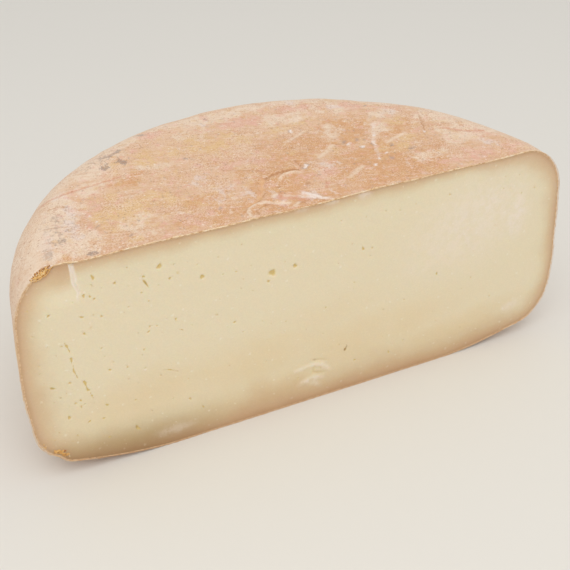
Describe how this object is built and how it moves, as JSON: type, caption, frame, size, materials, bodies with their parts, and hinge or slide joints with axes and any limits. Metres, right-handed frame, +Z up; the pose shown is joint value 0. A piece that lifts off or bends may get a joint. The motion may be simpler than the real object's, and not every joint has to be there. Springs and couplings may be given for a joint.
{
  "type": "ossau-iraty half wheel",
  "caption": "Half wheel of pressed ewe's milk cheese lying on its base, with an orange-tan rind and a pale ivory cut face with small eyes.",
  "frame": {"origin": "middle of the half wheel's bounding box, at the level of its flat base", "axes": "+Z up through the lying half wheel, +X along the straight cut edge, to the right as seen from in front of the cut; the cut face looks to -Y and the round rind side to +Y. The whole wheel's axis is the vertical line at x 0, y -0.065."},
  "size_m": [0.2599, 0.1296, 0.1061],
  "materials": {
    "cheese": "matte natural rind with a smooth, slightly waxy cut face"
  },
  "bodies": {
    "root": {"half_wheel": "cheese"}
  },
  "joints": []
}
